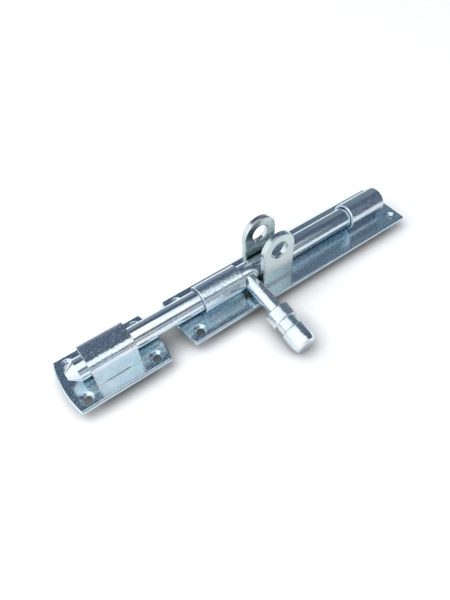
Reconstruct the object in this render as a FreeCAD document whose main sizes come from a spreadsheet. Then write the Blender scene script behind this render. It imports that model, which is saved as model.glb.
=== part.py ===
import FreeCAD, Part
import os
import Sketcher

# Padbolt: a round bolt that turns and slides in two tube barrels on a steel
# back plate, two upright lugs that take a padlock, and a separate keep.
#
# Frame: origin at the centre of the back plate's rear face, X along the bolt
# away from the keep, Y across the plate, Z out of the plate. Millimetres.

V = FreeCAD.Vector
doc = FreeCAD.newDocument("padbolt")

# Driving dimensions

SIZES = [
    # flat steel of both plates
    ("strap_width", 45.2, "width of the back plate and of the keep plate"),
    ("strap_thickness", 3.0, "thickness of both plates"),
    ("corner_radius", 1.2, "rounding of the plates' corners"),
    ("edge_bevel", 0.8, "broken upper edge of the plates"),
    # back plate
    ("plate_length", 203.0, "back plate, corner to corner"),
    ("plate_keep_bow", 2.7, "bulge of the back plate's end at the keep"),
    ("plate_rear_bow", 0.8, "bulge of the back plate's far end"),
    ("screw_inset", 8.2, "screw hole from the corner line of the back plate"),
    ("screw_edge", 7.4, "screw hole from the long edge of either plate"),
    ("screw_hole_diameter", 5.6, "through hole for the fixing screws"),
    ("countersink_diameter", 9.4, "rim of the countersink"),
    # keep
    ("keep_gap", 19.3, "space between the keep plate and the back plate"),
    ("keep_length", 65.0, "keep plate, corner to corner"),
    ("keep_bow", 2.8, "bulge of both ends of the keep plate"),
    ("keep_screw_inset", 7.4, "screw hole from the corner line of the keep plate"),
    ("bridge_width", 31.8, "length of the bridge along the bolt"),
    ("bridge_inset", 16.4, "bridge from the keep plate's near corner line"),
    ("bridge_wall", 2.4, "thickness of the bridge strip"),
    ("bridge_bend", 6.2, "outer radius of the strip's two bends"),
    ("bridge_side_clearance", 1.5, "bolt to bridge, each side"),
    ("bridge_top_clearance", 0.8, "bolt to the flat top of the bridge"),
    # bolt
    ("bolt_diameter", 15.6, "round bar of the bolt"),
    ("bolt_reach", 81.0, "bolt tip beyond the back plate's keep corner line"),
    ("bolt_tip_length", 7.0, "length of the coned tip"),
    ("bolt_tip_diameter", 5.6, "flat end of the coned tip"),
    ("bolt_rear_setback", 5.0, "bolt end inside the mouth of the rear barrel"),
    ("bolt_rear_chamfer", 1.0, "chamfer of the bolt's rear end"),
    # barrels
    ("barrel_diameter", 20.4, "outside of the barrel tube"),
    ("barrel_wall", 1.9, "wall of the barrel tube"),
    ("barrel_length", 34.0, "length of each barrel"),
    ("barrel_seat_width", 4.5, "flat on the tube where it is welded to the plate"),
    ("barrel_edge_bevel", 0.35, "broken outer edge of the barrel mouths"),
    ("front_barrel_x", 17.9, "front barrel from the keep corner line"),
    ("rear_barrel_x", 155.6, "rear barrel from the keep corner line"),
    ("bolt_lift", 0.3, "gap under the bolt where it lies in the barrels"),
    # lugs
    ("lug_width", 27.2, "padlock lug along the bolt"),
    ("lug_thickness", 4.4, "plate of the lugs"),
    ("lug_side_clearance", 0.6, "bolt to lug, each side"),
    ("lug_stem_gap", 2.0, "handle's stem to the lugs"),
    ("lug_crown_height", 44.4, "top of the lugs above the plate"),
    ("lug_hole_diameter", 13.0, "hole for the padlock shackle"),
    ("lug_hole_bevel", 0.8, "bevel round both rims of the shackle hole"),
    ("lug_edge_bevel", 0.6, "broken edge of the lugs"),
    ("bead_leg", 1.5, "weld bead along the outer foot of a lug"),
    ("bead_margin", 1.0, "end of the bead from the side of the lug"),
    ("tenon_length", 16.0, "tenon of a lug or bridge leg in its slot"),
    ("slot_clearance", 0.15, "play of a tenon in its slot, each side"),
    # handle
    ("stem_diameter", 11.0, "stem of the handle"),
    ("stem_barrel_gap", 0.3, "stem to the mouth of the front barrel"),
    ("spigot_diameter", 7.0, "spigot of the handle inside the bolt"),
    ("spigot_depth", 9.0, "spigot below its shoulder"),
    ("spigot_play", 0.05, "radial play of the spigot and the shoulder"),
    ("seat_inset", 2.7, "flat seat for the stem, below the bolt's surface"),
    ("handle_reach", 69.1, "end of the handle from the bolt's axis"),
    ("knob_diameter", 18.6, "first ring of the knob"),
    ("knob_neck_diameter", 15.0, "groove between the rings"),
    ("knob_grip_diameter", 17.5, "second ring of the knob"),
    ("knob_end_diameter", 15.2, "small end of the taper behind the second ring"),
    ("knob_ring_length", 10.0, "length of the first ring"),
    ("knob_neck_length", 7.2, "length of the groove"),
    ("knob_grip_length", 10.0, "length of the second ring"),
    ("knob_taper_length", 5.0, "length of the taper"),
    ("knob_bevel", 0.6, "broken edges of the rings"),
    ("knob_end_bevel", 1.2, "bevel round the end of the knob"),
    ("handle_lift", 0.2, "gap where the hanging stem rests on the plate's edge"),
]

sizes = doc.addObject("Spreadsheet::Sheet", "sizes")
for row, (name, value, note) in enumerate(SIZES, start=1):
    sizes.set("A%d" % row, name)
    sizes.set("B%d" % row, str(value))
    sizes.set("C%d" % row, note)
    sizes.setAlias("B%d" % row, name)

# Sizes that follow from the driving ones

DERIVED = [
    ("countersink_depth", "=(countersink_diameter - screw_hole_diameter) / 2"),
    ("plate_half", "=plate_length / 2"),
    ("strap_half", "=strap_width / 2"),
    ("screw_off_middle", "=strap_half - screw_edge"),
    ("barrel_radius", "=barrel_diameter / 2"),
    ("bore_radius", "=barrel_radius - barrel_wall"),
    ("bolt_radius", "=bolt_diameter / 2"),
    ("barrel_height", "=sqrt(barrel_radius ^ 2 - (barrel_seat_width / 2) ^ 2)"),
    ("bolt_height", "=barrel_height - bore_radius + bolt_radius + bolt_lift"),
    ("axis_z", "=strap_thickness + bolt_height"),
    ("keep_middle", "=-plate_half - keep_gap - keep_length / 2"),
    ("bridge_inner", "=bolt_radius + bridge_side_clearance"),
    ("bridge_outer", "=bridge_inner + bridge_wall"),
    ("bridge_ceiling", "=bolt_height + bolt_radius + bridge_top_clearance"),
    ("bridge_crown", "=bridge_ceiling + bridge_wall"),
    ("lug_inner", "=bolt_radius + lug_side_clearance"),
    ("lug_outer", "=lug_inner + lug_thickness"),
    ("lug_radius", "=lug_width / 2"),
    ("lug_hole_height", "=lug_crown_height - lug_radius"),
    ("bead_edge", "=lug_outer + bead_leg"),
    ("stem_radius", "=stem_diameter / 2"),
    ("stem_x", "=front_barrel_x + barrel_length + stem_barrel_gap + stem_radius"),
    ("lug_x", "=stem_x + stem_radius + lug_stem_gap + lug_radius"),
    ("grip_end", "=handle_reach - knob_taper_length"),
    ("grip_start", "=grip_end - knob_grip_length"),
    ("ring_end", "=grip_start - knob_neck_length"),
    ("knob_start", "=ring_end - knob_ring_length"),
    ("seat_radius", "=bolt_radius - seat_inset"),
    ("rest_gap", "=stem_radius + handle_lift"),
    ("droop", "=acos(rest_gap / sqrt(bolt_height ^ 2 + strap_half ^ 2))"
              " - atan(strap_half / bolt_height)"),
]
for row, (name, formula) in enumerate(DERIVED, start=len(SIZES) + 2):
    sizes.set("A%d" % row, name)
    sizes.set("B%d" % row, formula)
    sizes.setAlias("B%d" % row, name)
doc.recompute()


def size(name):
    """Value of one cell, in millimetres or degrees."""
    value = getattr(sizes, name)
    return float(getattr(value, "Value", value))


# Helpers

def make_body(label):
    body = doc.addObject("PartDesign::Body", label)
    body.Label = label
    return body


def make_sketch(body, name, role, lift="0"):
    """Sketch on one of the body's origin planes, lifted along its normal."""
    plane = [item for item in body.Origin.OriginFeatures if item.Role == role][0]
    sketch = body.newObject("Sketcher::SketchObject", name)
    sketch.AttachmentSupport = [(plane, "")]
    sketch.MapMode = "FlatFace"
    sketch.setExpression(".AttachmentOffset.Base.z", lift)
    return sketch


def constrain(sketch, kind, *args):
    return sketch.addConstraint(Sketcher.Constraint(kind, *args))


def drawn(sketch, kind, args):
    """Size of the drawn geometry that a dimension is put on."""
    if kind in ("Radius", "Diameter"):
        radius = sketch.Geometry[args[0]].Radius
        return radius if kind == "Radius" else 2 * radius
    step = sketch.getPoint(args[2], args[3]) - sketch.getPoint(args[0], args[1])
    return step.x if kind == "DistanceX" else step.y


def drive(sketch, name, expression, kind, *args):
    """Dimension of a sketch that follows the sheet."""
    index = constrain(sketch, kind, *args, drawn(sketch, kind, args))
    sketch.renameConstraint(index, name)
    sketch.setExpression("Constraints." + name, expression)


def place_point(sketch, geometry, point, name, along, up):
    """Ties a point to the sketch's origin by two signed expressions."""
    for axis, kind, expression in (("x", "DistanceX", along), ("y", "DistanceY", up)):
        if expression == "0":
            on_axis = -2 if axis == "x" else -1
            constrain(sketch, "PointOnObject", geometry, point, on_axis)
        elif expression.startswith("-"):
            drive(sketch, name + axis, expression[1:], kind, geometry, point, -1, 1)
        else:
            drive(sketch, name + axis, expression, kind, -1, 1, geometry, point)


def polygon(sketch, name, corners):
    """Closed outline through corners given as (value x, value y, expression x, expression y)."""
    first = sketch.GeometryCount
    count = len(corners)
    for index in range(count):
        start = corners[index]
        end = corners[(index + 1) % count]
        line = Part.LineSegment(V(start[0], start[1], 0), V(end[0], end[1], 0))
        sketch.addGeometry(line, False)
    for index in range(count):
        constrain(sketch, "Coincident", first + index, 2, first + (index + 1) % count, 1)
    for index, corner in enumerate(corners):
        place_point(sketch, first + index, 1, "%s%d" % (name, index), corner[2], corner[3])


def circle(sketch, name, along, up, diameter, at):
    index = sketch.addGeometry(Part.Circle(V(at[0], at[1], 0), V(0, 0, 1), 1.0), False)
    place_point(sketch, index, 3, name, along, up)
    drive(sketch, name + "d", diameter, "Diameter", index)


def pad(body, sketch, name, length, reverse=False):
    feature = body.newObject("PartDesign::Pad", name)
    feature.Profile = sketch
    feature.setExpression("Length", length)
    feature.Reversed = reverse
    doc.recompute()
    return feature


def revolve(body, sketch, name, axis):
    feature = body.newObject("PartDesign::Revolution", name)
    feature.Profile = sketch
    feature.ReferenceAxis = (sketch, [axis])
    feature.Angle = 360.0
    doc.recompute()
    return feature


def pocket(body, sketch, name, length):
    """Cuts against the sketch's normal and makes sure that something was cut."""
    before = body.Shape.Volume
    feature = body.newObject("PartDesign::Pocket", name)
    feature.Profile = sketch
    feature.setExpression("Length", length)
    doc.recompute()
    if not body.Shape.Volume < before - 1e-3:
        raise RuntimeError(name + " cut nothing")
    return feature


def dress(body, kind, name, radius, edges):
    """Fillet or chamfer on the named edges of the body's last feature."""
    base = body.Tip
    feature = body.newObject("PartDesign::" + kind, name)
    feature.Base = (base, edges)
    feature.setExpression("Radius" if kind == "Fillet" else "Size", radius)
    body.Tip = feature
    doc.recompute()
    return feature


def edges_where(body, test):
    return ["Edge%d" % (index + 1) for index, edge in enumerate(body.Shape.Edges) if test(edge)]


def lies_at(edge, axis, value):
    """True where the whole edge has one coordinate."""
    box = edge.BoundBox
    low = (box.XMin, box.YMin, box.ZMin)[axis]
    high = (box.XMax, box.YMax, box.ZMax)[axis]
    return abs(low - value) < 1e-4 and abs(high - value) < 1e-4


def is_round(edge, radius):
    """True for a circle of the given radius."""
    return isinstance(edge.Curve, Part.Circle) and abs(edge.Curve.Radius - radius) < 1e-4


# Plates: flat bar cropped with bulging ends, screw holes and tenon slots

def plate_outline(sketch, half_length, left_bow, right_bow, length_expression):
    """Two long edges joined by an arc at each end."""
    half_width = size("strap_half")
    corners = [V(-half_length, half_width, 0), V(half_length, half_width, 0),
               V(half_length, -half_width, 0), V(-half_length, -half_width, 0)]
    top = sketch.addGeometry(Part.LineSegment(corners[0], corners[1]), False)
    right = sketch.addGeometry(
        Part.Arc(corners[2], V(half_length + size(right_bow), 0, 0), corners[1]), False)
    bottom = sketch.addGeometry(Part.LineSegment(corners[2], corners[3]), False)
    left = sketch.addGeometry(
        Part.Arc(corners[0], V(-half_length - size(left_bow), 0, 0), corners[3]), False)
    constrain(sketch, "Coincident", top, 2, right, 2)
    constrain(sketch, "Coincident", right, 1, bottom, 1)
    constrain(sketch, "Coincident", bottom, 2, left, 2)
    constrain(sketch, "Coincident", left, 1, top, 1)
    constrain(sketch, "Symmetric", top, 1, top, 2, -2)
    constrain(sketch, "Symmetric", bottom, 1, bottom, 2, -2)
    constrain(sketch, "Symmetric", top, 1, bottom, 2, -1)
    drive(sketch, "length", length_expression, "DistanceX", top, 1, top, 2)
    drive(sketch, "width", "sizes.strap_width", "DistanceY", bottom, 2, top, 1)
    for arc, bow in ((right, right_bow), (left, left_bow)):
        radius = "(sizes.strap_half ^ 2 + sizes.{0} ^ 2) / (2 * sizes.{0})".format(bow)
        drive(sketch, "radius_" + ("right" if arc == right else "left"), radius, "Radius", arc)


def make_plate(label, length, left_bow, right_bow, inset, middle, leg_middle, leg_width):
    """Plate about its own middle, with a slot for a tenon on each side of the bolt."""
    body = make_body(label)
    half_length = size(length) / 2
    outline = make_sketch(body, label + "_outline", "XY_Plane")
    plate_outline(outline, half_length, left_bow, right_bow, "sizes." + length)
    pad(body, outline, label + "_pad", "sizes.strap_thickness")
    uprights = edges_where(body, lambda edge: edge.BoundBox.ZLength > size("strap_thickness") / 2)
    dress(body, "Fillet", label + "_corners", "sizes.corner_radius", uprights)
    rim = edges_where(body, lambda edge: lies_at(edge, 2, size("strap_thickness")))
    dress(body, "Chamfer", label + "_rim", "sizes.edge_bevel", rim)

    holes = make_sketch(body, label + "_hole_centres", "XY_Plane", "sizes.strap_thickness")
    along = "sizes.{0} / 2 - sizes.{1}".format(length, inset)
    across = "sizes.screw_off_middle"
    at_x = half_length - size(inset)
    at_y = size("screw_off_middle")
    for index, (sx, sy) in enumerate(((1, 1), (1, -1), (-1, 1), (-1, -1))):
        circle(holes, "screw%d" % index,
               along if sx > 0 else "-(" + along + ")",
               across if sy > 0 else "-" + across,
               "sizes.screw_hole_diameter", (sx * at_x, sy * at_y))
    doc.recompute()
    pocket(body, holes, label + "_screw_holes", "sizes.strap_thickness")
    rims = edges_where(body, lambda edge: lies_at(edge, 2, size("strap_thickness")) and is_round(
        edge, size("screw_hole_diameter") / 2))
    dress(body, "Chamfer", label + "_countersinks", "sizes.countersink_depth", rims)

    for name, side in (("front", -1), ("rear", 1)):
        cut = make_sketch(body, "%s_%s_slot" % (label, name), "XY_Plane", "sizes.strap_thickness")
        slot_outline(cut, name, middle, side, leg_middle, leg_width)
        pocket(body, cut, "%s_%s_cut" % (label, name), "sizes.strap_thickness")
    return body


def slot_outline(sketch, name, middle, side, leg_middle, leg_width):
    """Rectangle round a tenon, on one side (1 or -1) of the plate's centre line.

    middle and leg_middle are (value, expression) pairs: along the plate and off its centre line.
    """
    half_long = size("tenon_length") / 2 + size("slot_clearance")
    half_wide = size(leg_width) / 2 + size("slot_clearance")
    x_low = middle[0] - half_long
    x_high = middle[0] + half_long
    y_low = side * leg_middle[0] - half_wide
    y_high = side * leg_middle[0] + half_wide
    corners = [V(x_low, y_low, 0), V(x_high, y_low, 0), V(x_high, y_high, 0), V(x_low, y_high, 0)]
    lines = []
    for index in range(4):
        lines.append(sketch.addGeometry(
            Part.LineSegment(corners[index], corners[(index + 1) % 4]), False))
    for index in range(4):
        constrain(sketch, "Coincident", lines[index], 2, lines[(index + 1) % 4], 1)
        constrain(sketch, "Vertical" if index % 2 else "Horizontal", lines[index])
    drive(sketch, name + "_long", "sizes.tenon_length + 2 * sizes.slot_clearance",
          "DistanceX", lines[0], 1, lines[0], 2)
    drive(sketch, name + "_wide", "sizes.%s + 2 * sizes.slot_clearance" % leg_width,
          "DistanceY", lines[1], 1, lines[1], 2)
    near_x = "%s - sizes.tenon_length / 2 - sizes.slot_clearance" % middle[1]
    far_x = "%s + sizes.tenon_length / 2 + sizes.slot_clearance" % middle[1]
    if x_low > 0:
        drive(sketch, name + "_x", near_x, "DistanceX", -1, 1, lines[0], 1)
    else:
        drive(sketch, name + "_x", "-(%s)" % near_x, "DistanceX", lines[0], 1, -1, 1)
    near_y = "%s - sizes.%s / 2 - sizes.slot_clearance" % (leg_middle[1], leg_width)
    if side > 0:
        drive(sketch, name + "_y", near_y, "DistanceY", -1, 1, lines[0], 1)
    else:
        drive(sketch, name + "_y", near_y, "DistanceY", lines[2], 1, -1, 1)


lug_from_middle = (size("lug_x") - size("plate_half"), "(sizes.lug_x - sizes.plate_half)")
lug_off_middle = (size("lug_inner") + size("lug_thickness") / 2,
                  "(sizes.lug_inner + sizes.lug_thickness / 2)")
back_plate = make_plate(
    "back_plate", "plate_length", "plate_keep_bow", "plate_rear_bow", "screw_inset",
    lug_from_middle, lug_off_middle, "lug_thickness")

bridge_from_middle = (
    size("keep_length") / 2 - size("bridge_inset") - size("bridge_width") / 2,
    "(sizes.keep_length / 2 - sizes.bridge_inset - sizes.bridge_width / 2)")
leg_off_middle = (size("bridge_inner") + size("bridge_wall") / 2,
                  "(sizes.bridge_inner + sizes.bridge_wall / 2)")
keep_plate = make_plate(
    "keep_plate", "keep_length", "keep_bow", "keep_bow", "keep_screw_inset",
    bridge_from_middle, leg_off_middle, "bridge_wall")
keep_plate.setExpression("Placement.Base.x", "sizes.keep_middle")


# Barrels: pieces of tube with a flat where they are welded to the plate

def make_barrel(label, start):
    """Tube turned about its own axis, then flattened underneath to sit on the plate."""
    body = make_body(label)
    outside = size("barrel_radius")
    inside = size("bore_radius")
    length = size("barrel_length")
    bevel = size("barrel_edge_bevel")
    rim = "sizes.barrel_radius - sizes.barrel_edge_bevel"
    profile = make_sketch(body, label + "_profile", "XZ_Plane")
    polygon(profile, "tube", [
        (0, inside, "0", "sizes.bore_radius"),
        (length, inside, "sizes.barrel_length", "sizes.bore_radius"),
        (length, outside - bevel, "sizes.barrel_length", rim),
        (length - bevel, outside, "sizes.barrel_length - sizes.barrel_edge_bevel",
         "sizes.barrel_radius"),
        (bevel, outside, "sizes.barrel_edge_bevel", "sizes.barrel_radius"),
        (0, outside - bevel, "0", rim)])
    revolve(body, profile, label + "_tube", "H_Axis")
    seat = make_sketch(body, label + "_seat_outline", "XY_Plane", "-sizes.barrel_height")
    polygon(seat, "seat", [
        (0, -outside, "0", "-sizes.barrel_radius"),
        (length, -outside, "sizes.barrel_length", "-sizes.barrel_radius"),
        (length, outside, "sizes.barrel_length", "sizes.barrel_radius"),
        (0, outside, "0", "sizes.barrel_radius")])
    pocket(body, seat, label + "_seat", "sizes.barrel_wall")
    body.setExpression("Placement.Base.x", "sizes.%s - sizes.plate_half" % start)
    body.setExpression("Placement.Base.z", "sizes.strap_thickness + sizes.barrel_height")
    return body


front_barrel = make_barrel("front_barrel", "front_barrel_x")
rear_barrel = make_barrel("rear_barrel", "rear_barrel_x")


# Lugs: upright plates with a round crown, a bevelled hole and a tenon

def make_lug(label, side):
    """side is -1 for the lug in front of the bolt and 1 for the one behind it."""
    body = make_body(label)
    radius = size("lug_radius")
    height = size("lug_hole_height")
    lift = "-%d * sizes.lug_%s" % (side, "inner" if side < 0 else "outer")
    outline = make_sketch(body, label + "_outline", "XZ_Plane", lift)
    foot = outline.addGeometry(Part.LineSegment(V(-radius, 0, 0), V(radius, 0, 0)), False)
    right = outline.addGeometry(Part.LineSegment(V(radius, 0, 0), V(radius, height, 0)), False)
    crown = outline.addGeometry(
        Part.Arc(V(radius, height, 0), V(0, height + radius, 0), V(-radius, height, 0)), False)
    left = outline.addGeometry(Part.LineSegment(V(-radius, height, 0), V(-radius, 0, 0)), False)
    constrain(outline, "Coincident", foot, 2, right, 1)
    constrain(outline, "Tangent", right, 2, crown, 1)
    constrain(outline, "Tangent", crown, 2, left, 1)
    constrain(outline, "Coincident", left, 2, foot, 1)
    constrain(outline, "Symmetric", foot, 1, foot, 2, -1, 1)
    constrain(outline, "Vertical", right)
    drive(outline, "foot", "sizes.lug_width", "DistanceX", foot, 1, foot, 2)
    drive(outline, "height", "sizes.lug_hole_height", "DistanceY", -1, 1, crown, 3)
    circle(outline, "hole", "0", "sizes.lug_hole_height", "sizes.lug_hole_diameter", (0, height))
    pad(body, outline, label + "_blank", "sizes.lug_thickness")
    hole_radius = size("lug_hole_diameter") / 2
    hole_rims = edges_where(body, lambda edge: is_round(edge, hole_radius))
    dress(body, "Chamfer", label + "_bevels", "sizes.lug_hole_bevel", hole_rims)
    rim = edges_where(body, lambda edge: edge.BoundBox.YLength < 1e-4
                      and edge.BoundBox.ZMax > height - 1e-4
                      and edge.BoundBox.ZLength > hole_radius * 2.5)
    dress(body, "Chamfer", label + "_rim", "sizes.lug_edge_bevel", rim)
    tenon = make_sketch(body, label + "_tenon_outline", "XZ_Plane", lift)
    half = size("tenon_length") / 2
    depth = size("strap_thickness")
    polygon(tenon, "tenon", [
        (-half, -depth, "-sizes.tenon_length / 2", "-sizes.strap_thickness"),
        (half, -depth, "sizes.tenon_length / 2", "-sizes.strap_thickness"),
        (half, 0, "sizes.tenon_length / 2", "0"),
        (-half, 0, "-sizes.tenon_length / 2", "0")])
    pad(body, tenon, label + "_tenon", "sizes.lug_thickness")
    make_bead(body, label, side)
    body.setExpression("Placement.Base.x", "sizes.lug_x - sizes.plate_half")
    body.setExpression("Placement.Base.z", "sizes.strap_thickness")
    return body


def make_bead(body, label, side):
    """Weld bead with a flat face, where the lug's outer side stands on the plate."""
    sign = "-" if side < 0 else ""
    bead = make_sketch(body, label + "_bead_section", "YZ_Plane",
                       "-(sizes.lug_radius - sizes.bead_margin)")
    outer = size("lug_outer")
    edge = size("bead_edge")
    polygon(bead, "bead", [
        (side * outer, 0, sign + "sizes.lug_outer", "0"),
        (side * edge, 0, sign + "sizes.bead_edge", "0"),
        (side * outer, size("bead_leg"), sign + "sizes.lug_outer", "sizes.bead_leg")])
    pad(body, bead, label + "_bead", "2 * (sizes.lug_radius - sizes.bead_margin)")


front_lug = make_lug("front_lug", -1)
rear_lug = make_lug("rear_lug", 1)


# Keep bridge: a strip bent over the bolt, flat on top, its feet in the keep plate

def make_bridge():
    body = make_body("keep_bridge")
    inner = size("bridge_inner")
    outer = size("bridge_outer")
    ceiling = size("bridge_ceiling")
    crown = size("bridge_crown")
    section = make_sketch(body, "bridge_section", "YZ_Plane", "-sizes.bridge_width / 2")
    polygon(section, "fold", [
        (-outer, 0, "-sizes.bridge_outer", "0"),
        (-outer, crown, "-sizes.bridge_outer", "sizes.bridge_crown"),
        (outer, crown, "sizes.bridge_outer", "sizes.bridge_crown"),
        (outer, 0, "sizes.bridge_outer", "0"),
        (inner, 0, "sizes.bridge_inner", "0"),
        (inner, ceiling, "sizes.bridge_inner", "sizes.bridge_ceiling"),
        (-inner, ceiling, "-sizes.bridge_inner", "sizes.bridge_ceiling"),
        (-inner, 0, "-sizes.bridge_inner", "0")])
    pad(body, section, "bridge_strip", "sizes.bridge_width")
    for name, half, height, radius in (
            ("outer", outer, crown, "sizes.bridge_bend"),
            ("inner", inner, ceiling, "sizes.bridge_bend - sizes.bridge_wall")):
        bends = edges_where(body, lambda edge: lies_at(edge, 2, height) and (
            lies_at(edge, 1, half) or lies_at(edge, 1, -half)))
        dress(body, "Fillet", "bridge_%s_bends" % name, radius, bends)
    for name, side in (("front", -1), ("rear", 1)):
        foot = make_sketch(body, "bridge_%s_foot" % name, "YZ_Plane", "-sizes.tenon_length / 2")
        low = -size("strap_thickness")
        near = "sizes.bridge_inner"
        far = "sizes.bridge_outer"
        sign = "-" if side < 0 else ""
        polygon(foot, name, [
            (side * inner, low, sign + near, "-sizes.strap_thickness"),
            (side * outer, low, sign + far, "-sizes.strap_thickness"),
            (side * outer, 0, sign + far, "0"),
            (side * inner, 0, sign + near, "0")])
        pad(body, foot, "bridge_%s_tenon" % name, "sizes.tenon_length")
    body.setExpression("Placement.Base.x",
                       "-sizes.plate_half - sizes.keep_gap - sizes.bridge_inset - sizes.bridge_width / 2")
    body.setExpression("Placement.Base.z", "sizes.strap_thickness")
    return body


keep_bridge = make_bridge()


# Bolt and handle: turned parts, modelled about the handle's line and then
# turned together until the stem hangs against the plate's edge

def hang(body):
    """Puts a moving piece on the bolt's axis, with the handle hanging."""
    body.Placement = FreeCAD.Placement(V(0, 0, 0), FreeCAD.Rotation(V(1, 0, 0), size("droop")))
    body.setExpression("Placement.Rotation.Angle", "sizes.droop")
    body.setExpression("Placement.Base.x", "sizes.stem_x - sizes.plate_half")
    body.setExpression("Placement.Base.z", "sizes.axis_z")


def make_bolt():
    body = make_body("bolt_rod")
    profile = make_sketch(body, "bolt_profile", "XZ_Plane")
    stem_x = size("stem_x")
    tip = -size("bolt_reach") - stem_x
    rear = size("rear_barrel_x") + size("barrel_length") - size("bolt_rear_setback") - stem_x
    radius = size("bolt_radius")
    tip_radius = size("bolt_tip_diameter") / 2
    tip_length = size("bolt_tip_length")
    chamfer = size("bolt_rear_chamfer")
    at_tip = "sizes.bolt_reach + sizes.stem_x"
    at_rear = ("sizes.rear_barrel_x + sizes.barrel_length - sizes.bolt_rear_setback"
               " - sizes.stem_x")
    polygon(profile, "bolt", [
        (tip, 0, "-(%s)" % at_tip, "0"),
        (rear, 0, at_rear, "0"),
        (rear, radius - chamfer, at_rear, "sizes.bolt_radius - sizes.bolt_rear_chamfer"),
        (rear - chamfer, radius, at_rear + " - sizes.bolt_rear_chamfer", "sizes.bolt_radius"),
        (tip + tip_length, radius, "-(%s - sizes.bolt_tip_length)" % at_tip, "sizes.bolt_radius"),
        (tip, tip_radius, "-(%s)" % at_tip, "sizes.bolt_tip_diameter / 2")])
    revolve(body, profile, "bolt_bar", "H_Axis")
    seat = make_sketch(body, "stem_seat", "XZ_Plane", "sizes.bolt_radius")
    circle(seat, "seat", "0", "0", "sizes.stem_diameter + 2 * sizes.spigot_play", (0, 0))
    pocket(body, seat, "stem_seat_cut", "sizes.seat_inset")
    drilling = make_sketch(body, "spigot_hole", "XZ_Plane", "sizes.seat_radius")
    circle(drilling, "hole", "0", "0", "sizes.spigot_diameter + 2 * sizes.spigot_play", (0, 0))
    pocket(body, drilling, "spigot_hole_cut", "sizes.spigot_depth")
    hang(body)
    return body


def make_handle():
    """Stem, ringed knob and spigot, turned from one bar about the sketch's Y axis."""
    body = make_body("handle")
    profile = make_sketch(body, "handle_profile", "XY_Plane")
    spigot_end = size("spigot_depth") - size("seat_radius")
    steps = [
        ("spigot_diameter", spigot_end, "sizes.spigot_depth - sizes.seat_radius"),
        ("spigot_diameter", -size("seat_radius"), "-sizes.seat_radius"),
        ("stem_diameter", -size("seat_radius"), "-sizes.seat_radius"),
        ("stem_diameter", -size("knob_start"), "-sizes.knob_start"),
        ("knob_diameter", -size("knob_start"), "-sizes.knob_start"),
        ("knob_diameter", -size("ring_end"), "-sizes.ring_end"),
        ("knob_neck_diameter", -size("ring_end"), "-sizes.ring_end"),
        ("knob_neck_diameter", -size("grip_start"), "-sizes.grip_start"),
        ("knob_grip_diameter", -size("grip_start"), "-sizes.grip_start"),
        ("knob_grip_diameter", -size("grip_end"), "-sizes.grip_end"),
        ("knob_end_diameter", -size("handle_reach"), "-sizes.handle_reach")]
    corners = [(size(name) / 2, along, "sizes.%s / 2" % name, text) for name, along, text in steps]
    corners.append((0, -size("handle_reach"), "0", "-sizes.handle_reach"))
    corners.append((0, spigot_end, "0", "sizes.spigot_depth - sizes.seat_radius"))
    polygon(profile, "turn", corners)
    revolve(body, profile, "handle_turning", "V_Axis")
    rings = edges_where(body, lambda edge: (
        is_round(edge, size("knob_diameter") / 2)
        or (is_round(edge, size("knob_grip_diameter") / 2)
            and lies_at(edge, 1, -size("grip_start")))))
    dress(body, "Chamfer", "knob_rings", "sizes.knob_bevel", rings)
    crown = edges_where(body, lambda edge: is_round(edge, size("knob_end_diameter") / 2))
    dress(body, "Chamfer", "knob_end", "sizes.knob_end_bevel", crown)
    hang(body)
    return body


bolt_rod = make_bolt()
handle = make_handle()


# Checks and export

PARTS = [back_plate, front_barrel, rear_barrel, front_lug, rear_lug,
         bolt_rod, handle, keep_plate, keep_bridge]

doc.recompute()
for item in doc.Objects:
    if "Invalid" in item.State or "Error" in item.State:
        raise RuntimeError("failed object: " + item.Name)
for item in PARTS:
    if item.Shape.isNull() or not item.Shape.isValid():
        raise RuntimeError("bad shape: " + item.Label)

os.makedirs("parts", exist_ok=True)
for item in PARTS:
    item.Shape.exportStep("parts/%s.step" % item.Label)
    box = item.Shape.BoundBox
    print("%-14s %8.0f mm3  x %.1f %.1f  y %.1f %.1f  z %.1f %.1f" % (
        item.Label, item.Shape.Volume, box.XMin, box.XMax, box.YMin, box.YMax, box.ZMin, box.ZMax))
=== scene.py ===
"""Bright zinc padbolt with its keep, dressed for a studio picture on a white floor."""

import logging
import math
from dataclasses import dataclass
from enum import Enum
from typing import Any, Dict, Sequence, Tuple

import bpy
from mathutils import Matrix, Vector


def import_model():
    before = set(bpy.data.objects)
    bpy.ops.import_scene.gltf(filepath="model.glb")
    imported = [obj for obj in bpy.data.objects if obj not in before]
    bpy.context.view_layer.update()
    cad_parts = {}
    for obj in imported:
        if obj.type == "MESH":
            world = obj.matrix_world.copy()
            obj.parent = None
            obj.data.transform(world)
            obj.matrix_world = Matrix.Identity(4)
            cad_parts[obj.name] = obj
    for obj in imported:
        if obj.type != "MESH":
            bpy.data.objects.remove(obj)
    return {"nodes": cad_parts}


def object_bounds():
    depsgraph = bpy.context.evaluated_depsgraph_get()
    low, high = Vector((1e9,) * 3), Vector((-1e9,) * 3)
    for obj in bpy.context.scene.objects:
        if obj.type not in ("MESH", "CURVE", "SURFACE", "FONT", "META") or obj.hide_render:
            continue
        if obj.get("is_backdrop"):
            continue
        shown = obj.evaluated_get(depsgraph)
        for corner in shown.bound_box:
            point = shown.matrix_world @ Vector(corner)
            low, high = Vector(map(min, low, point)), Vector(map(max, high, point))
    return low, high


log = logging.getLogger("padbolt")

Triple = Tuple[float, float, float]
Span = Tuple[float, float]
Finishes = Tuple[Tuple["Zinc", Tuple[str, ...]], ...]

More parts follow.
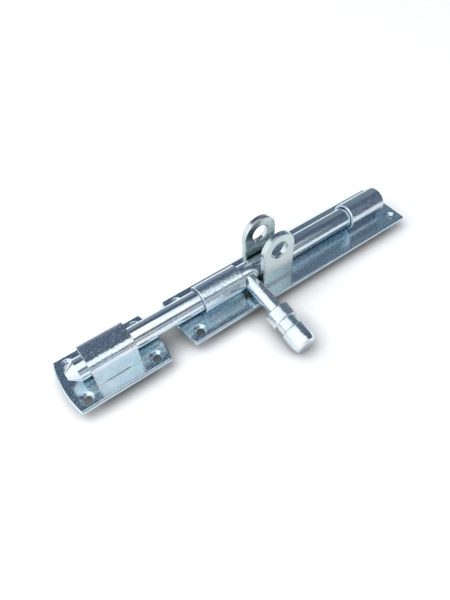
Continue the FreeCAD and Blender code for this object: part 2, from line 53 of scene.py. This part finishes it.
WHITE: Triple = (1.0, 1.0, 1.0)
BLACK: Triple = (0.0, 0.0, 0.0)
ALONG: Triple = (1.0, 0.0, 0.0)
ACROSS: Triple = (0.0, 1.0, 0.0)
UP: Triple = (0.0, 0.0, 1.0)
IMAGE_HEIGHT_PX = 600.0
SENSOR_MM = 36.0
EDGE_SAMPLES = 6
SHADE_SAMPLES = 8


class Grain(Enum):
    """Noise cycles per metre along X, Y and Z for the fine lines that shaped a piece."""

    NONE = (700.0, 700.0, 700.0)
    ALONG_X = (24.0, 1500.0, 1500.0)


class Field:
    """A node socket that takes part in shader arithmetic."""

    def __init__(self, shader: "Shader", source: Any) -> None:
        """Keeps the shader that new nodes go to, and the socket."""
        self.shader = shader
        self.source = source

    def _math(self, operation: str, first: Any, second: Any, clamp: bool = False) -> "Field":
        """Adds one Math node.

        Args:
            operation: Blender's name of the operation.
            first: First number or Field.
            second: Second number or Field.
            clamp: Whether the result is held between 0 and 1.

        Returns:
            The result as a Field.
        """
        return self.shader.node(
            "ShaderNodeMath",
            {"operation": operation, "use_clamp": clamp},
            {0: first, 1: second},
        )

    def __add__(self, other: Any) -> "Field":
        """Sum."""
        return self._math("ADD", self, other)

    def __radd__(self, other: Any) -> "Field":
        """Sum with a number on the left."""
        return self._math("ADD", other, self)

    def __rsub__(self, other: Any) -> "Field":
        """Difference from a number on the left."""
        return self._math("SUBTRACT", other, self)

    def __mul__(self, other: Any) -> "Field":
        """Product."""
        return self._math("MULTIPLY", self, other)

    def clamped(self) -> "Field":
        """The same value held between 0 and 1."""
        return self._math("ADD", self, 0.0, clamp=True)


class Shader:
    """Node tree of one material or world, built through a single node method."""

    def __init__(self, tree: bpy.types.NodeTree) -> None:
        """Empties the tree that it is given."""
        self.tree = tree
        self.tree.nodes.clear()

    def node(
        self,
        kind: str,
        settings: Dict[str, Any],
        sockets: Dict[Any, Any],
        output: Any = 0,
    ) -> Field:
        """Adds one node.

        Args:
            kind: Blender's name of the node's type.
            settings: Properties that are set first; "stops" sets a ramp's colours.
            sockets: Input name or index to a value or a Field.
            output: Name or index of the output that is returned.

        Returns:
            The chosen output as a Field.
        """
        made = self.tree.nodes.new(kind)
        for name, value in settings.items():
            if name == "stops":
                self._set_stops(made.color_ramp, value)
            else:
                setattr(made, name, value)
        for name, value in sockets.items():
            socket = made.inputs[name]
            if isinstance(value, Field):
                self.tree.links.new(value.source, socket)
            else:
                socket.default_value = value
        return Field(self, made.outputs[output] if made.outputs else None)

    @staticmethod
    def _set_stops(ramp: Any, stops: Sequence[Tuple[float, Any]]) -> None:
        """Writes the stops of a colour ramp.

        Args:
            ramp: Ramp that is filled.
            stops: Positions, each with its colour.
        """
        while len(ramp.elements) < len(stops):
            ramp.elements.new(1.0)
        for element, (position, colour) in zip(ramp.elements, stops):
            element.position = position
            element.color = colour

    def mix(self, factor: Field, first: Any, second: Any) -> Field:
        """Mixes two colours.

        Args:
            factor: Share of the second colour.
            first: Colour or Field at a factor of 0.
            second: Colour or Field at a factor of 1.

        Returns:
            The mixed colour.
        """
        return self.node(
            "ShaderNodeMix",
            {"data_type": "RGBA"},
            {"Factor": factor, 6: first, 7: second},
            output=2,
        )

    def noise(self, where: Field, scale: float, detail: float, roughness: float) -> Field:
        """Makes smooth noise.

        Args:
            where: Place that is looked up.
            scale: Cycles per unit of the place.
            detail: Number of finer layers.
            roughness: Weight of the finer layers.

        Returns:
            A value from 0 to 1.
        """
        return self.node(
            "ShaderNodeTexNoise",
            {},
            {"Vector": where, "Scale": scale, "Detail": detail, "Roughness": roughness},
            output="Fac",
        )

    def stretched(self, where: Field, scale: Triple) -> Field:
        """Scales a place by a different amount along each axis."""
        return self.node(
            "ShaderNodeVectorMath", {"operation": "MULTIPLY"}, {0: where, 1: scale})

    def part(self, way: Field, axis: Triple) -> Field:
        """Measures how far a vector reaches along an axis.

        Args:
            way: Vector that is measured.
            axis: Axis, which may be longer than 1.

        Returns:
            The dot product of the two.
        """
        return self.node(
            "ShaderNodeVectorMath",
            {"operation": "DOT_PRODUCT"},
            {0: way, 1: axis},
            output="Value",
        )

    def edge(self, value: Field, span: Span) -> Field:
        """Makes a soft step.

        Args:
            value: What is compared with the span.
            span: Value at which the result is 0, and value at which it is 1, either way up.

        Returns:
            A value from 0 to 1.
        """
        low, high = sorted(span)
        start, end = (0.0, 1.0) if span[0] < span[1] else (1.0, 0.0)
        return self.node(
            "ShaderNodeMapRange",
            {"clamp": True, "interpolation_type": "SMOOTHSTEP"},
            {"Value": value, "From Min": low, "From Max": high, "To Min": start, "To Max": end},
        )


def rgba(colour: Triple) -> Tuple[float, float, float, float]:
    """Adds full alpha to a colour."""
    return (colour[0], colour[1], colour[2], 1.0)


def new_material(name: str) -> Tuple[bpy.types.Material, Shader]:
    """Makes an empty node material.

    Args:
        name: The material's name.

    Returns:
        The material and the shader that fills it.
    """
    material = bpy.data.materials.new(name)
    material.use_nodes = True
    return material, Shader(material.node_tree)


def cover(piece: bpy.types.Object, material: bpy.types.Material) -> None:
    """Puts one material into every slot of a piece.

    Args:
        piece: Object that is dressed.
        material: Material that it gets.
    """
    if not piece.material_slots:
        piece.data.materials.append(material)
    for slot in piece.material_slots:
        slot.material = material


@dataclass(frozen=True)
class Zinc:
    """Bright zinc plate with a thin blue passivation over cold rolled or drawn steel.

    Scales are cycles per metre of the object's own coordinates. Depths and the edge's radius
    are metres. A cover is the span of noise that grows from nothing to the full effect.
    """

    name: str
    bright: Triple = (0.70, 0.76, 0.78)
    blue: Triple = (0.60, 0.71, 0.78)
    violet: Triple = (0.62, 0.62, 0.72)
    roughness: float = 0.09
    roughness_swing: float = 0.08
    cloud_scale: float = 34.0
    cloud_cover: Span = (0.36, 0.66)
    patch_ratio: float = 3.7
    patch_cover: Span = (0.45, 0.75)
    patch_share: float = 0.6
    fleck_scale: float = 1100.0
    fleck_cover: Span = (0.46, 0.70)
    fleck_depth: float = 0.00005
    fleck_roughness: float = 0.10
    grain: Grain = Grain.NONE
    grain_depth: float = 0.000004
    edge_round: float = 0.0005

    def _relief(self, shader: Shader, flecks: Field, grain: Field) -> Field:
        """Rounds the edges, then adds the drawing lines and the flecks of the plating.

        Args:
            shader: Shader that the nodes go to.
            flecks: Height of the flecks, from 0 to 1.
            grain: Height of the drawing lines, from 0 to 1.

        Returns:
            The normal for the surface.
        """
        normal = shader.node(
            "ShaderNodeBevel", {"samples": EDGE_SAMPLES}, {"Radius": self.edge_round})
        for depth, height in ((self.grain_depth, grain), (self.fleck_depth, flecks)):
            normal = shader.node(
                "ShaderNodeBump",
                {},
                {"Strength": 1.0, "Distance": depth, "Height": height, "Normal": normal},
            )
        return normal

    def build(self) -> bpy.types.Material:
        """Makes the material.

        Returns:
            The finished material.
        """
        material, shader = new_material(self.name)
        place = shader.node("ShaderNodeTexCoord", {}, {}, output="Object")
        cloud = shader.edge(
            shader.noise(place, self.cloud_scale, detail=3.0, roughness=0.55), self.cloud_cover)
        patch_scale = self.cloud_scale * self.patch_ratio
        patch = shader.edge(
            shader.noise(place, patch_scale, detail=2.0, roughness=0.5), self.patch_cover)
        flecks = shader.edge(
            shader.noise(place, self.fleck_scale, detail=1.0, roughness=0.5), self.fleck_cover)
        grain = shader.noise(
            shader.stretched(place, self.grain.value), scale=1.0, detail=2.0, roughness=0.6)
        tint = shader.mix(cloud, rgba(self.bright), rgba(self.blue))
        swing = self.roughness_swing / 2.0
        surface = shader.node(
            "ShaderNodeBsdfPrincipled",
            {},
            {
                "Base Color": shader.mix(patch * self.patch_share, tint, rgba(self.violet)),
                "Metallic": 1.0,
                "Roughness": (self.roughness + flecks * self.fleck_roughness
                              + cloud * swing + grain * swing),
                "Normal": self._relief(shader, flecks, grain),
            },
        )
        shader.node("ShaderNodeOutputMaterial", {}, {"Surface": surface})
        return material


@dataclass(frozen=True)
class SubAssembly:
    """Pieces that belong together, listed by the finish that they share."""

    finishes: Finishes

    def dress(self, nodes: Dict[str, bpy.types.Object]) -> None:
        """Gives every piece its finish.

        Args:
            nodes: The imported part's pieces by name.
        """
        for finish, names in self.finishes:
            material = finish.build()
            for name in names:
                cover(nodes[name], material)
                log.info("%s dressed in %s", name, material.name)


@dataclass(frozen=True)
class Fittings(SubAssembly):
    """The fixed pieces on the door and its frame: plates, barrels, lugs and bridge."""

    finishes: Finishes = (
        (Zinc("zinc_flat_bar", grain=Grain.ALONG_X, bright=(0.60, 0.71, 0.75),
              blue=(0.50, 0.66, 0.74), roughness=0.13, fleck_depth=0.00003, edge_round=0.0008),
         ("back_plate", "keep_plate")),
        (Zinc("zinc_tube", grain=Grain.ALONG_X),
         ("front_barrel", "rear_barrel")),
        # Pressed lugs: rougher zinc whose base colours are made darker as painted shade, for the
        # shaded floor that the lug faces mirror.
        (Zinc("zinc_pressed_painted_shade", bright=(0.60, 0.67, 0.66), blue=(0.52, 0.62, 0.62),
              roughness=0.15, cloud_scale=60.0, fleck_depth=0.000014, edge_round=0.0008),
         ("front_lug", "rear_lug")),
        (Zinc("zinc_strip", edge_round=0.0008),
         ("keep_bridge",)),
    )


@dataclass(frozen=True)
class MovingBolt(SubAssembly):
    """The round bolt and its turned handle."""

    finishes: Finishes = (
        (Zinc("zinc_bright_bar", grain=Grain.ALONG_X, fleck_depth=0.000012,
              grain_depth=0.00001),
         ("bolt_rod",)),
        (Zinc("zinc_turned", roughness=0.14, roughness_swing=0.16, fleck_depth=0.000025),
         ("handle",)),
    )


@dataclass(frozen=True)
class Surroundings:
    """What the bright metal mirrors: a dark room with a wide soft light and three walls.

    Each edge is a span of a direction's part, from where the light or the wall is gone to
    where it is full. X runs along the bolt, Y across it and Z up.
    """

    room: Triple = (0.10, 0.135, 0.20)
    soft_light: Triple = (1.45, 1.48, 1.5)
    rear_edge: Span = (0.44, 0.20)
    front_edge: Span = (-0.70, -0.62)
    right_edge: Span = (0.34, 0.25)
    right_slant: float = 0.36
    side_edge: Span = (-0.30, -0.46)
    side_rear_edge: Span = (0.72, 0.60)
    rear_wall: Triple = (0.30, 0.34, 0.42)
    rear_wall_edge: Span = (0.66, 0.80)
    right_wall: Triple = (0.23, 0.29, 0.35)
    right_wall_edge: Span = (0.40, 0.60)
    right_wall_rear_edge: Span = (0.05, 0.35)
    wall_bands: Tuple[Tuple[float, Triple], ...] = (
        (0.00, (0.08, 0.11, 0.13)), (0.09, (0.10, 0.13, 0.15)), (0.15, (0.72, 0.76, 0.80)),
        (0.44, (0.66, 0.70, 0.76)), (0.52, (0.16, 0.18, 0.22)), (0.64, (0.20, 0.21, 0.26)))
    wall_edge: Span = (-0.50, -0.72)
    wall_right_edge: Span = (0.62, 0.40)

    def _light(self, shader: Shader, way: Field, along: Field, across: Field) -> Field:
        """Shapes the soft light: its main part above, and a part beside the keep.

        Args:
            shader: Shader that the nodes go to.
            way: Direction that is mirrored.
            along: Part of the direction along the bolt.
            across: Part of the direction across the bolt.

        Returns:
            The light's share, from 0 to 1.
        """
        slanted = shader.part(way, (1.0, self.right_slant, 0.0))
        above = (shader.edge(across, self.rear_edge) * shader.edge(across, self.front_edge)
                 * shader.edge(slanted, self.right_edge))
        beside = shader.edge(along, self.side_edge) * shader.edge(across, self.side_rear_edge)
        return 1.0 - (1.0 - above) * (1.0 - beside)

    def _walls(self, shader: Shader, way: Field, along: Field, across: Field) -> Field:
        """Colours the room, its rear and right walls and its banded front wall.

        Args:
            shader: Shader that the nodes go to.
            way: Direction that is mirrored.
            along: Part of the direction along the bolt.
            across: Part of the direction across the bolt.

        Returns:
            The colour where the soft light is absent.
        """
        left_of_edge = shader.edge(along, self.wall_right_edge)
        rear = shader.edge(across, self.rear_wall_edge) * left_of_edge
        right = (shader.edge(along, self.right_wall_edge)
                 * shader.edge(across, self.right_wall_rear_edge))
        front = shader.edge(across, self.wall_edge) * left_of_edge
        bands = shader.node(
            "ShaderNodeValToRGB",
            {"stops": [(height, rgba(colour)) for height, colour in self.wall_bands]},
            {"Fac": shader.part(way, UP)},
            output="Color",
        )
        colour = shader.mix(rear, rgba(self.room), rgba(self.rear_wall))
        colour = shader.mix(right, colour, rgba(self.right_wall))
        return shader.mix(front, colour, bands)

    def build(self) -> None:
        """Makes the world and hands it to the scene."""
        world = bpy.data.worlds.new("studio")
        world.use_nodes = True
        bpy.context.scene.world = world
        shader = Shader(world.node_tree)
        way = shader.node("ShaderNodeTexCoord", {}, {}, output="Generated")
        along = shader.part(way, ALONG)
        across = shader.part(way, ACROSS)
        colour = shader.mix(
            self._light(shader, way, along, across),
            self._walls(shader, way, along, across),
            rgba(self.soft_light))
        room = shader.node("ShaderNodeBackground", {}, {"Color": colour, "Strength": 1.0})
        white = shader.node("ShaderNodeBackground", {}, {"Color": rgba(WHITE), "Strength": 1.0})
        seen = shader.node("ShaderNodeLightPath", {}, {}, output="Is Camera Ray")
        both = shader.node("ShaderNodeMixShader", {}, {0: seen, 1: room, 2: white})
        shader.node("ShaderNodeOutputWorld", {}, {"Surface": both})


@dataclass(frozen=True)
class Floor:
    """White floor that keeps the part's shadow from the lamps, with painted shade close to the
    part and a glow that makes it white far away.

    The drop, the size, the shade's reach and the far span are metres.
    """

    drop: float = 0.0005
    size: float = 6.0
    colour: Triple = (0.93, 0.93, 0.93)
    glow: float = 0.12
    shade_reach: float = 0.02
    far: Span = (0.40, 1.20)

    def _material(self) -> bpy.types.Material:
        """Makes matt white with painted shade that darkens it close to the part, and a glow for
        camera and glossy rays that the painted shade dims too.

        Returns:
            The floor's material.
        """
        material, shader = new_material("floor_white")
        camera_ray = shader.node("ShaderNodeLightPath", {}, {}, output="Is Camera Ray")
        glossy_ray = shader.node("ShaderNodeLightPath", {}, {}, output="Is Glossy Ray")
        seen = (camera_ray + glossy_ray).clamped()
        place = shader.node("ShaderNodeTexCoord", {}, {}, output="Object")
        distance = shader.node(
            "ShaderNodeVectorMath", {"operation": "LENGTH"}, {0: place}, output="Value")
        glow_share = self.glow + shader.edge(distance, self.far) * (1.0 - self.glow)
        # Painted shade: ambient occlusion darkens the floor's colour close to the part and dims
        # its glow there, on top of the lamps' real shadow.
        shade = shader.node(
            "ShaderNodeAmbientOcclusion",
            {"samples": SHADE_SAMPLES},
            {"Distance": self.shade_reach},
            output="AO",
        )
        painted_shade_tone = shader.mix(shade, rgba(BLACK), rgba(self.colour))
        matt = shader.node(
            "ShaderNodeBsdfPrincipled",
            {},
            {"Base Color": painted_shade_tone, "Roughness": 1.0, "Specular IOR Level": 0.0},
        )
        glow = shader.node("ShaderNodeEmission", {}, {"Color": rgba(WHITE), "Strength": 1.0})
        both = shader.node(
            "ShaderNodeMixShader", {}, {0: seen * shade * glow_share, 1: matt, 2: glow})
        shader.node("ShaderNodeOutputMaterial", {}, {"Surface": both})
        return material

    def lay(self, lowest: float) -> None:
        """Lays the floor just under the part.

        Args:
            lowest: Height of the part's lowest point.
        """
        half = self.size / 2.0
        height = lowest - self.drop
        corners = [(x * half, y * half, height) for x, y in ((-1, -1), (1, -1), (1, 1), (-1, 1))]
        mesh = bpy.data.meshes.new("floor")
        mesh.from_pydata(corners, [], [(0, 1, 2, 3)])
        mesh.materials.append(self._material())
        floor = bpy.data.objects.new("floor", mesh)
        bpy.context.scene.collection.objects.link(floor)
        floor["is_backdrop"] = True


@dataclass(frozen=True)
class PhotoCamera:
    """The photograph's camera: place in metres, angles in degrees, focal length in pixels."""

    place: Triple = (-0.1811, -0.1858, 0.2680)
    azimuth: float = -32.67
    elevation: float = 50.84
    roll: float = -4.06
    focal_px: float = 478.1
    clip: Span = (0.01, 50.0)

    def _turned(self) -> Matrix:
        """Works out the camera's right, up and back directions.

        Returns:
            The camera's rotation.
        """
        turn = math.radians(self.azimuth)
        lift = math.radians(self.elevation)
        tilt = math.radians(self.roll)
        back = Vector((
            math.sin(turn) * math.cos(lift), -math.cos(turn) * math.cos(lift), math.sin(lift)))
        right = (-back).cross(Vector(UP)).normalized()
        up = right.cross(-back)
        right_rolled = math.cos(tilt) * right + math.sin(tilt) * up
        up_rolled = -math.sin(tilt) * right + math.cos(tilt) * up
        return Matrix((right_rolled, up_rolled, back)).transposed().to_4x4()

    def set_up(self) -> None:
        """Puts the camera into the scene."""
        data = bpy.data.cameras.new("camera")
        data.sensor_fit = "VERTICAL"
        data.sensor_height = SENSOR_MM
        data.lens = self.focal_px * SENSOR_MM / IMAGE_HEIGHT_PX
        data.clip_start, data.clip_end = self.clip
        camera = bpy.data.objects.new("camera", data)
        camera.matrix_world = Matrix.Translation(self.place) @ self._turned()
        bpy.context.scene.collection.objects.link(camera)
        bpy.context.scene.camera = camera


@dataclass(frozen=True)
class SoftLamp:
    """Square lamp that lights the floor and that the metal doesn't mirror."""

    name: str
    place: Triple
    size: float
    power: float
    target: Triple = (-0.04, 0.0, 0.0)

    def hang(self) -> None:
        """Puts the lamp into the scene, aimed at its target."""
        data = bpy.data.lights.new(self.name, "AREA")
        data.shape = "SQUARE"
        data.size = self.size
        data.energy = self.power
        lamp = bpy.data.objects.new(self.name, data)
        lamp.location = self.place
        lamp.visible_glossy = False
        aim = Vector(self.target) - Vector(self.place)
        lamp.rotation_euler = aim.to_track_quat("-Z", "Y").to_euler()
        bpy.context.scene.collection.objects.link(lamp)


@dataclass(frozen=True)
class Studio:
    """Camera, floor, mirrored surroundings and the lamps that give the part its shadow."""

    camera: PhotoCamera = PhotoCamera()
    floor: Floor = Floor()
    surroundings: Surroundings = Surroundings()
    lamps: Tuple[SoftLamp, ...] = (
        SoftLamp("key_lamp", (-0.50, 0.32, 1.1), size=1.0, power=7.5),
        SoftLamp("side_lamp", (-1.1, 0.1, 0.5), size=0.8, power=3.0))

    def build(self, lowest: float) -> None:
        """Sets up the whole studio.

        Args:
            lowest: Height of the part's lowest point.
        """
        self.camera.set_up()
        self.floor.lay(lowest)
        self.surroundings.build()
        for lamp in self.lamps:
            lamp.hang()


def main() -> None:
    """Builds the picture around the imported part."""
    logging.basicConfig(level=logging.INFO, format="%(name)s: %(message)s")
    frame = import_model()
    solid_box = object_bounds()
    for sub_assembly in (Fittings(), MovingBolt()):
        sub_assembly.dress(frame["nodes"])
    Studio().build(lowest=solid_box[0][2])
    bpy.context.scene.view_settings.view_transform = "Standard"


if __name__ == "__main__":
    main()
